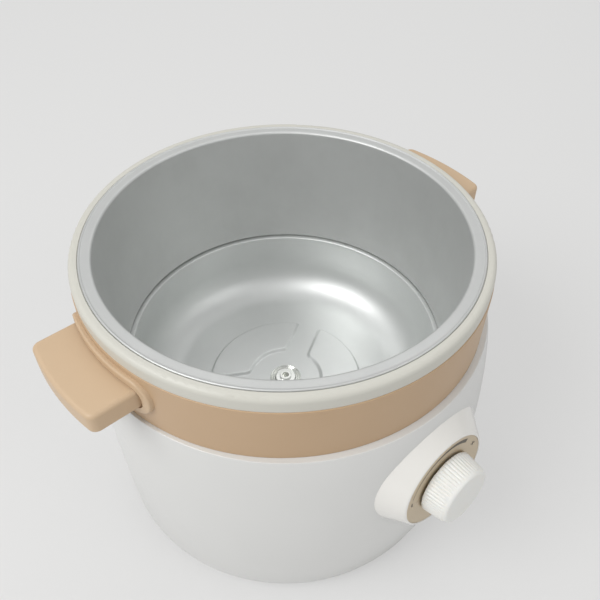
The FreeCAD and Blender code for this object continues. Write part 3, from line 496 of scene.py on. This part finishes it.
# ---- bench --------------------------------------------------------------------------------------
class Bench:
    """Edit-mode work on one mesh at a time."""

    @staticmethod
    def deselect() -> None:
        """Leaves nothing selected."""
        bpy.ops.object.select_all(action="DESELECT")

    @staticmethod
    def take(piece: bpy.types.Object) -> None:
        """Leaves one piece selected and active.

        Args:
            piece: The piece.
        """
        Bench.deselect()
        piece.select_set(True)
        bpy.context.view_layer.objects.active = piece

    @staticmethod
    @contextmanager
    def editing(piece: bpy.types.Object) -> Iterator[None]:
        """Edit mode on one piece, left again at the end.

        Args:
            piece: The mesh object to work on.

        Yields:
            Nothing.
        """
        Bench.take(piece)
        bpy.ops.object.mode_set(mode="EDIT")
        bpy.ops.mesh.select_mode(type="VERT")
        try:
            yield
        finally:
            bpy.ops.object.mode_set(mode="OBJECT")

    @staticmethod
    def pick(piece: bpy.types.Object, wanted: Callable[[Vector], bool]) -> None:
        """Selects, in edit mode, the vertices whose place is wanted.

        Args:
            piece: The piece in edit mode.
            wanted: Says whether a place belongs.
        """
        shape = bmesh.from_edit_mesh(piece.data)
        for vertex in shape.verts:
            vertex.select_set(bool(wanted(vertex.co)))
        shape.select_flush(True)
        bmesh.update_edit_mesh(piece.data)

    @staticmethod
    def close() -> None:
        """Merges doubles, fills open ends and turns every face outwards, on the piece in edit mode."""
        bpy.ops.mesh.select_all(action="SELECT")
        bpy.ops.mesh.remove_doubles(threshold=MERGE)
        bpy.ops.mesh.select_all(action="SELECT")
        bpy.ops.mesh.fill_holes(sides=0)
        bpy.ops.mesh.select_all(action="SELECT")
        bpy.ops.mesh.normals_make_consistent(inside=False)

    @staticmethod
    def settle(piece: bpy.types.Object, matrix: Matrix | None = None, smooth: float = 35.0) -> None:
        """Puts the piece's place into its mesh and smooths it.

        Args:
            piece: The piece.
            matrix: Where it goes, or None where it is made in place.
            smooth: Angle in degrees above which an edge stays sharp.
        """
        if matrix is not None:
            piece.matrix_world = matrix
        Bench.take(piece)
        bpy.ops.object.transform_apply(location=True, rotation=True, scale=True)
        bpy.ops.object.shade_smooth_by_angle(angle=math.radians(smooth))

    @staticmethod
    def finish(piece: bpy.types.Object, material: bpy.types.Material, body: str, slot: str,
               *replaced: str) -> None:
        """Gives a piece its material and its body, and hides the CAD nodes that it stands for.

        Args:
            piece: The piece.
            material: Its material.
            body: The body that it rides on.
            slot: Not used.
            *replaced: CAD nodes that it replaces.
        """
        piece.data.materials.clear()
        piece.data.materials.append(material)
        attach(piece, body)
        if replaced:
            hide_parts(*replaced)


def bend(middle: Station, radius: float, start: float, end: float, steps: int) -> list[Station]:
    """Stations along an arc of a profile.

    Args:
        middle: The arc's centre, as radius and height.
        radius: The arc's radius.
        start: Angle in degrees of its first point, from outwards, up.
        end: Angle of its last point.
        steps: How many spans it has.

    Returns:
        The stations.
    """
    angles = [math.radians(start + (end - start) * i / steps) for i in range(steps + 1)]
    return [(middle[0] + radius * math.cos(a), middle[1] + radius * math.sin(a)) for a in angles]


def run(start: Station, end: Station, steps: int) -> list[Station]:
    """Stations along a straight run, both ends included."""
    return [(start[0] + (end[0] - start[0]) * i / steps, start[1] + (end[1] - start[1]) * i / steps)
            for i in range(steps + 1)]


@dataclass
class Turning:
    """A profile turned about the upright axis, extruded ring by ring.

    A profile whose last station is its first again closes on itself; any other has its ends filled.
    """

    name: str
    stations: list[Station]
    sides: int = 192

    def build(self) -> bpy.types.Object:
        """Models the turning.

        Returns:
            The piece, closed, with its normals outwards.
        """
        radius, height = self.stations[0]
        Bench.deselect()
        bpy.ops.mesh.primitive_circle_add(vertices=self.sides, radius=radius, location=(0, 0, height))
        bpy.ops.object.transform_apply(location=True, rotation=False, scale=False)
        piece = bpy.context.active_object
        piece.name = piece.data.name = self.name
        with Bench.editing(piece):
            bpy.ops.mesh.select_all(action="SELECT")
            for (r0, z0), (r1, z1) in zip(self.stations, self.stations[1:]):
                bpy.ops.mesh.extrude_region_move(TRANSFORM_OT_translate={"value": (0, 0, z1 - z0)})
                bpy.ops.transform.resize(value=(r1 / r0, r1 / r0, 1), center_override=(0, 0, z1))
            Bench.close()
        return piece


def ease(value: float) -> float:
    """Smooth step of a value held between 0 and 1."""
    held = min(max(value, 0.0), 1.0)
    return held * held * (3 - 2 * held)


# ---- sub-assemblies -----------------------------------------------------------------------------
@dataclass
class PanWall:
    """Satin side wall of the pan, with its beaded flange and the shadow gap above the dish."""

    opening: float = 110.0 * MM
    seam: float = 103.9 * MM
    sheet: float = 1.2 * MM
    bead: float = 0.75 * MM
    flange_drop: float = 0.45 * MM
    mouth_round: float = 1.6 * MM
    gap: float = 1.0 * MM
    gap_depth: float = 1.9 * MM
    foot: float = 5.4 * MM
    foot_round: float = 0.6 * MM
    foot_lift: float = 0.02 * MM
    thinning: float = 0.2 * MM
    draft: float = 0.1 * MM
    crease: float = 1.0 * MM
    sides: int = 256

    def profile(self) -> list[Station]:
        """The wall's section, from the flange's edge inwards, down the wall and back up behind it.

        Returns:
            The stations, the last of them the first again.
        """
        low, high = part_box("pan_wall")
        rim, top, base = high[0], high[2], low[2]
        flat = top - self.flange_drop
        back = flat - self.sheet + self.thinning
        mouth = self.opening + self.mouth_round
        foot_z = base + self.gap
        under = base + self.foot_lift
        shadow, foot = self.seam + self.gap_depth, self.seam + self.foot
        stations = bend((rim - self.bead, top - self.bead), self.bead, -80, 150, 10)
        stations += [(rim - 2.1 * self.bead, flat)]
        stations += run((rim - 3.2 * self.bead, flat), (mouth, flat), 3)[:-1]
        stations += bend((mouth, flat - self.mouth_round), self.mouth_round, 90, 176, 8)
        stations += run((self.opening - self.draft / 2, flat - 2.2 * self.mouth_round),
                        (self.seam + self.draft, foot_z + self.crease), 16)
        turned = self.foot_round
        stations += bend((self.seam + turned, foot_z + turned), turned, 180, 270, 4)
        stations += [(shadow, foot_z), (shadow, under), (foot, under), (foot, base + self.sheet),
                     (shadow + self.sheet, foot_z + self.sheet),
                     (self.opening + self.sheet, back), (rim - self.bead, back)]
        return stations + stations[:1]

    def build(self) -> list[bpy.types.Object]:
        """Models and dresses the wall.

        Returns:
            The piece, in a list.
        """
        piece = Turning("pan_side_wall", self.profile(), self.sides).build()
        Bench.settle(piece)
        Bench.finish(piece, PAN_SATIN.material(), COOKER, "pan_aluminium", "pan_wall")
        return [piece]


@dataclass
class HeatingDish:
    """Bowl-shaped dish: a flat lip, a straight wall, a wide cove and a floor with three raised sectors."""

    seam: float = 103.9 * MM
    lip: float = 5.4 * MM
    wall: float = 101.0 * MM
    sheet: float = 1.5 * MM
    cove: float = 26.0 * MM
    lip_round: float = 0.8 * MM
    floor_z: float = 74.7 * MM
    hole: float = 4.35 * MM
    sector_in: float = 24.5 * MM
    sector_out: float = 54.5 * MM
    spoke: float = 14.5 * MM
    corner: float = 4.0 * MM
    slope: float = 2.5 * MM
    rim_steepness: float = 2.2
    rise: float = 1.9 * MM
    grid: float = 0.6 * MM
    level: float = 0.1 * MM
    crease: float = 1.0 * MM
    spokes: tuple[int, ...] = (30, 150, 270)
    sides: int = 384

    def profile(self) -> list[Station]:
        """The dish's section, from the lip's edge inwards to the hole and back underneath.

        Returns:
            The stations, the last of them the first again.
        """
        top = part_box("heating_dish")[1][2]
        rim = self.seam + self.lip
        under = self.wall + self.sheet
        below = self.floor_z - self.sheet
        outer, inner = self.sector_out + 3 * self.slope, self.sector_in - 3 * self.slope
        bowl = (self.wall - self.cove, self.floor_z + self.cove)
        stations = [(rim, top - self.sheet), (rim, top)]
        stations += run((rim - self.crease, top), (self.wall + self.lip_round, top), 2)[:-1]
        stations += bend((self.wall + self.lip_round, top - self.lip_round), self.lip_round, 90, 180, 6)
        stations += run((self.wall, top - 3 * self.crease), (self.wall, bowl[1] + self.crease), 4)
        stations += bend(bowl, self.cove, 0, -90, 30)
        stations += run((outer + 5 * self.crease, self.floor_z), (outer, self.floor_z), 2)
        steps = round((outer - inner) / self.grid)
        stations += run((outer - self.grid, self.floor_z), (inner, self.floor_z), steps)
        stations += run((inner - 2 * self.crease, self.floor_z), (self.hole, self.floor_z), 4)
        stations += [(self.hole, below), (bowl[0], below)]
        stations += bend(bowl, self.cove + self.sheet, -90, 0, 12)[1:]
        stations += [(under, top - self.sheet)]
        return stations + stations[:1]

    def height(self, place: Vector) -> float:
        """How far the sheet is raised at a place on the floor.

        Args:
            place: The place.

        Returns:
            A share of the full rise, from 0 to 1.
        """
        away = math.hypot(place.x, place.y)
        angle = math.degrees(math.atan2(place.y, place.x))
        from_spoke = min(abs((angle - spoke + 180) % 360 - 180) for spoke in self.spokes)
        side = away * math.sin(math.radians(min(from_spoke, 90))) - self.spoke / 2
        ends = min((self.sector_out - away) * self.rim_steepness, away - self.sector_in)
        inside = self.corner - math.hypot(max(self.corner - side, 0.0), max(self.corner - ends, 0.0))
        return ease(inside / self.slope)

    def build(self) -> list[bpy.types.Object]:
        """Models and dresses the dish.

        Returns:
            The piece, in a list.
        """
        piece = Turning("heating_bowl", self.profile(), self.sides).build()
        group = piece.vertex_groups.new(name="sectors")
        for vertex in piece.data.vertices:
            if abs(vertex.co.z - self.floor_z) < self.level:
                share = self.height(vertex.co)
                if share > 0:
                    group.add([vertex.index], share, "REPLACE")
        stamp = piece.modifiers.new("stamp", "DISPLACE")
        stamp.direction, stamp.mid_level = "Z", 0.0
        stamp.strength, stamp.vertex_group = self.rise, group.name
        Bench.take(piece)
        bpy.ops.object.modifier_apply(modifier=stamp.name)
        Bench.settle(piece, smooth=60.0)
        Bench.finish(piece, DISH_SATIN.material(), COOKER, "dish_aluminium", "heating_dish")
        return [piece]


@dataclass
class HubRings:
    """The stepped bright washer round the stud at the middle of the dish."""

    outer: float = 11.25 * MM
    hole: float = 4.4 * MM
    low: float = 74.7 * MM
    high: float = 75.88 * MM
    web: float = 0.35 * MM
    edge: float = 0.3 * MM
    step: float = 0.95 * MM
    crest: float = 0.55 * MM
    crown: float = 0.15 * MM
    sides: int = 96

    def profile(self) -> list[Station]:
        """The washer's section: ridges and valleys from the rim to the hole, then flat underneath.

        Returns:
            The stations, the last of them the first again.
        """
        valley, shoulder = self.low + self.web, self.high - self.crown
        stations = [(self.outer, self.low), (self.outer, valley)]
        at = self.outer - self.edge
        while at - self.crest - self.step > self.hole:
            stations += [(at, shoulder), (at - self.crest / 2, self.high), (at - self.crest, shoulder),
                         (at - self.crest - self.step / 2, valley)]
            at -= self.crest + self.step
        stations += [(self.hole, valley), (self.hole, self.low)]
        return stations + stations[:1]

    def build(self) -> list[bpy.types.Object]:
        """Models and dresses the washer.

        Returns:
            The piece, in a list.
        """
        piece = Turning("hub_rings", self.profile(), self.sides).build()
        Bench.settle(piece, smooth=50.0)
        Bench.finish(piece, HUB_METAL.material(), COOKER, "hub_steel", "hub_washer")
        return [piece]


@dataclass
class Dial:
    """The turning knob and the printed marks on its plate, in the dial's own frame."""

    reach: float = 141.3 * MM
    height: float = 115.0 * MM
    tilt: float = 4.0
    base_radius: float = 20.3 * MM
    face_radius: float = 18.3 * MM
    depth: float = 16.2 * MM
    gap: float = 0.8 * MM
    edge: float = 2.4 * MM
    wall: float = 2.0 * MM
    ribs: int = 56
    rib_columns: int = 6
    rib_depth: float = 0.42 * MM
    pole: float = 4.0 * MM
    dome: float = 0.12 * MM
    skirt: float = 0.5 * MM
    skirt_inset: float = 0.4 * MM
    rib_start: float = 0.2 * MM
    rib_end: float = 0.05 * MM
    rib_margin: float = 0.3 * MM
    mark_radius: float = 26.9 * MM
    mark_length: float = 3.6 * MM
    mark_width: float = 0.75 * MM
    mark_depth: float = 0.2 * MM
    mark_sink: float = 0.02 * MM
    ink: float = 0.06 * MM
    sweep_radius: float = 27.2 * MM
    sweep_width: float = 2.6 * MM
    sweep_least: float = 0.2 * MM
    sweep_seed: float = 0.1 * MM
    sweep_ends: tuple[float, float] = (168.0, 52.0)
    sweep_steps: int = 40

    def frame(self) -> Matrix:
        """The dial's frame: +Z out of the dial, +Y up."""
        turn = Matrix.Rotation(math.radians(90 - self.tilt), 4, "X")
        return Matrix.Translation((0, -self.reach, self.height)) @ turn

    def knob(self) -> bpy.types.Object:
        """Models the ribbed knob, hollow behind.

        Returns:
            The knob, dressed.
        """
        face = self.face_radius - self.edge
        slope = (self.base_radius - self.face_radius) / (self.depth - self.gap)
        stations = run((self.pole, self.depth), (face, self.depth - self.dome), 3)
        stations += bend((face, self.depth - self.edge), self.edge - self.dome, 80, 8, 7)
        start = self.depth - self.edge - self.rib_start
        behind = self.depth - self.wall
        stations += run((self.face_radius + slope * self.edge, start),
                        (self.base_radius, self.gap + self.skirt), 8)
        stations += [(self.base_radius - self.skirt_inset, self.gap),
                     (self.base_radius - self.wall, self.gap),
                     (self.face_radius - self.wall, behind), (self.pole, behind)]
        sides = self.ribs * self.rib_columns
        piece = Turning("dial_knob", stations, sides).build()
        step = 360.0 / sides
        low, high = self.gap + self.skirt - self.rib_end, start + 2 * self.rib_end
        ribbed = self.face_radius - self.rib_margin

        def column(place: Vector) -> int:
            """The vertex's place within its rib, from 0 to 5."""
            return round(math.degrees(math.atan2(place.y, place.x)) / step) % self.rib_columns

        with Bench.editing(piece):
            for columns, share in (((0,), 1.0), ((1, 5), 0.55)):
                Bench.pick(piece, lambda p: low < p.z < high and math.hypot(p.x, p.y) > ribbed
                           and column(p) in columns)
                shrink = 1 - share * self.rib_depth / self.face_radius
                bpy.ops.transform.resize(value=(shrink, shrink, 1), center_override=(0, 0, 0))
        Bench.settle(piece, self.frame(), 50.0)
        Bench.finish(piece, KNOB_WHITE.material(), DIAL_KNOB, "knob_white", "knob")
        return piece

    def sweep(self) -> bpy.types.Object:
        """Models the printed sweep that grows from a hair line to its wide end.

        Returns:
            The flat mark.
        """
        first, last = (math.radians(angle) for angle in self.sweep_ends)
        radius, steps = self.sweep_radius, self.sweep_steps
        Bench.deselect()
        bpy.ops.mesh.primitive_plane_add(size=self.sweep_seed, location=(0, 0, 0))
        piece = bpy.context.active_object
        piece.name = piece.data.name = "dial_sweep"
        with Bench.editing(piece):
            bpy.ops.mesh.select_all(action="SELECT")
            bpy.ops.mesh.merge(type="CENTER")
            bpy.ops.transform.translate(value=(radius * math.cos(first), radius * math.sin(first), 0))
            bpy.ops.mesh.extrude_region_move(TRANSFORM_OT_translate={"value": (self.sweep_seed, 0, 0)})
            bpy.ops.mesh.select_all(action="SELECT")
            for i in range(steps):
                before, after = (first + (last - first) * j / steps for j in (i, i + 1))
                width = self.sweep_width * ((i + 1) / steps) ** 1.4 + self.sweep_least
                move = (radius * (math.cos(after) - math.cos(before)),
                        radius * (math.sin(after) - math.sin(before)), 0)
                bpy.ops.mesh.extrude_region_move(TRANSFORM_OT_translate={"value": move})
                self.spread(piece, radius, after, width)
            bpy.ops.mesh.select_all(action="SELECT")
            bpy.ops.mesh.normals_make_consistent(inside=False)
        return piece

    @staticmethod
    def spread(piece: bpy.types.Object, radius: float, angle: float, width: float) -> None:
        """Sets the two newest points of the sweep either side of its middle line.

        Args:
            piece: The sweep in edit mode, with its newest edge selected.
            radius: Radius of the middle line.
            angle: Its angle here.
            width: Width of the sweep here.
        """
        shape = bmesh.from_edit_mesh(piece.data)
        ends = sorted((v for v in shape.verts if v.select), key=lambda v: v.co.length)
        for vertex, away in zip(ends, (radius - width / 2, radius + width / 2)):
            vertex.co = (away * math.cos(angle), away * math.sin(angle), 0)
        bmesh.update_edit_mesh(piece.data)

    def sign(self, name: str, angle: float, bars: tuple[float, ...]) -> bpy.types.Object:
        """Models a sign of crossed bars.

        Args:
            name: The piece's name.
            angle: Its place round the plate, in degrees.
            bars: The turn of each bar in degrees.

        Returns:
            The piece.
        """
        radius, width = self.mark_radius, self.mark_width
        spot = (radius * math.cos(math.radians(angle)), radius * math.sin(math.radians(angle)), 0)
        Bench.deselect()
        bpy.ops.mesh.primitive_plane_add(size=width, location=(0, 0, 0))
        piece = bpy.context.active_object
        piece.name = piece.data.name = name
        grow = (self.mark_length - width) / 2
        with Bench.editing(piece):
            for bar in bars:
                for turn in (math.radians(bar), math.radians(bar + 180)):
                    along = Vector((math.cos(turn), math.sin(turn), 0))
                    Bench.pick(piece, lambda p: p.dot(along) > width * 0.45 and p.length < width)
                    bpy.ops.mesh.extrude_region_move(TRANSFORM_OT_translate={"value": along * grow})
            bpy.ops.mesh.select_all(action="SELECT")
            bpy.ops.transform.translate(value=spot)
        return piece

    def printed(self, piece: bpy.types.Object) -> None:
        """Gives a flat mark its thickness and lays it on the plate.

        Args:
            piece: The flat mark.
        """
        with Bench.editing(piece):
            bpy.ops.mesh.select_all(action="SELECT")
            bpy.ops.mesh.extrude_region_move(TRANSFORM_OT_translate={"value": (0, 0, self.ink)})
            bpy.ops.mesh.select_all(action="SELECT")
            bpy.ops.transform.translate(value=(0, 0, -self.mark_depth - self.mark_sink))
            Bench.close()
        Bench.settle(piece, self.frame())
        Bench.finish(piece, MARK_INK.material(), COOKER, "socket_black")

    def build(self) -> list[bpy.types.Object]:
        """Models and dresses the knob and the marks.

        Returns:
            The pieces.
        """
        marks = [self.sweep(), self.sign("dial_plus", 28.0, (0.0, 90.0)),
                 self.sign("dial_minus", 176.0, (90.0,))]
        for mark in marks:
            self.printed(mark)
        return [self.knob()] + marks


# ---- studio -------------------------------------------------------------------------------------
@dataclass
class Softbox:
    """A soft square lamp."""

    name: str
    place: tuple[float, float, float]
    side: float
    power: float
    aim: tuple[float, float, float] = (0, 0, 0.1)

    def build(self) -> bpy.types.Object:
        """Adds the lamp, turned towards its aim.

        Returns:
            The lamp.
        """
        data = bpy.data.lights.new(self.name, "AREA")
        data.shape, data.size, data.size_y = "RECTANGLE", self.side, self.side
        data.energy = self.power
        lamp = bpy.data.objects.new(self.name, data)
        lamp.location = self.place
        lamp.rotation_euler = (Vector(self.aim) - Vector(self.place)).to_track_quat("-Z", "Y").to_euler()
        bpy.context.scene.collection.objects.link(lamp)
        return lamp


@dataclass
class Studio:
    """Pale floor, soft lamps, world and camera."""

    floor_size: float = 14.0
    floor_colour: Colour = (0.74, 0.74, 0.735)
    floor_tone: float = 0.985
    floor_glow: float = 0.5
    floor_level: float = 0.88
    # painted light on the floor: the camera's glow is dimmer near the camera and brighter further back
    painted_light_near: Colour = (0.87, 0.868, 0.862)
    painted_light_far: Colour = (1.0, 0.998, 0.992)
    glow_reach: tuple[float, float] = (-0.4, 1.6)
    glow_heading: tuple[float, float] = (0.66, 0.75)
    world_level: float = 0.57
    camera_place: tuple[float, float, float] = (-0.19639, -0.23909, 0.45914)
    camera_turn: tuple[float, float, float] = (45.380, -0.296, -40.968)
    lens: float = 40.43
    lamps: list[Softbox] = field(default_factory=lambda: [
        Softbox("key", (-1.05, 0.1, 1.3), 0.8, 12.0),
        Softbox("fill", (0.4, -1.3, 1.3), 0.8, 3.0),
        Softbox("top", (0.6, 0.6, 1.9), 1.2, 4.0),
    ])

    def floor(self) -> bpy.types.Object:
        """The plain floor that takes the shadow, lifted towards its own colour for the camera by a glow
        that is painted light, dimmer near the camera and brighter further back.

        Returns:
            The floor.
        """
        Bench.deselect()
        bpy.ops.mesh.primitive_plane_add(size=self.floor_size, location=(0, 0, 0))
        floor = bpy.context.active_object
        floor.name = "floor"
        shader = Shader("studio_floor")
        grain = shader.noise(shader.place(), 3.0, 2.0)
        tone = tuple(c * self.floor_tone for c in self.floor_colour)
        shader.dress(Base_Color=shader.mix(grain, self.floor_colour, tone), Roughness=0.75,
                     Specular_IOR_Level=0.2)
        paths = shader.node("ShaderNodeLightPath")
        seen = Value(shader, paths.outputs["Is Camera Ray"])
        x, y, _ = shader.axes()
        # painted light: the glow grows from the dimmer near colour to the brighter far colour along the
        # heading
        away = (x * self.glow_heading[0] + y * self.glow_heading[1]).step(*self.glow_reach)
        shine = {"Color": shader.mix(away, self.painted_light_near, self.painted_light_far), "Strength": self.floor_level}
        glow = shader.node("ShaderNodeEmission", None, shine)
        layers = {0: seen * self.floor_glow, 1: shader.surface.outputs[0], 2: glow.outputs[0]}
        lifted = shader.node("ShaderNodeMixShader", None, layers)
        output = shader.tree.nodes["Material Output"]
        shader.tree.links.new(lifted.outputs[0], output.inputs["Surface"])
        floor.data.materials.append(shader.material)
        return floor

    def world(self) -> None:
        """An even pale world."""
        world = bpy.data.worlds.new("studio")
        world.use_nodes = True
        back = world.node_tree.nodes["Background"]
        back.inputs["Color"].default_value = (1.0, 1.0, 1.0, 1.0)
        back.inputs["Strength"].default_value = self.world_level
        bpy.context.scene.world = world
        bpy.context.scene.view_settings.view_transform = "Standard"

    def camera(self) -> bpy.types.Object:
        """The camera, above the left handle's front, looking down into the pan.

        Returns:
            The camera.
        """
        data = bpy.data.cameras.new("camera")
        data.lens, data.sensor_width = self.lens, 36.0
        data.clip_start, data.clip_end = 0.01, 50.0
        camera = bpy.data.objects.new("camera", data)
        camera.location = self.camera_place
        camera.rotation_euler = [math.radians(a) for a in self.camera_turn]
        bpy.context.scene.collection.objects.link(camera)
        bpy.context.scene.camera = camera
        return camera

    def build(self) -> None:
        """Sets the whole studio up."""
        self.floor()
        self.world()
        self.camera()
        for lamp in self.lamps:
            lamp.build()


def main() -> None:
    """Builds the cooker and its studio."""
    logging.basicConfig(level=logging.INFO, format="%(name)s: %(message)s")
    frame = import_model()
    dress_frame(frame["nodes"])
    LOG.info("dressed %d nodes", len(frame["nodes"]))
    for part in (PanWall(), HeatingDish(), HubRings(), Dial()):
        for piece in part.build():
            LOG.info("%s: %s with %d faces", type(part).__name__, piece.name, len(piece.data.polygons))
    Studio().build()


if __name__ == "__main__":
    main()
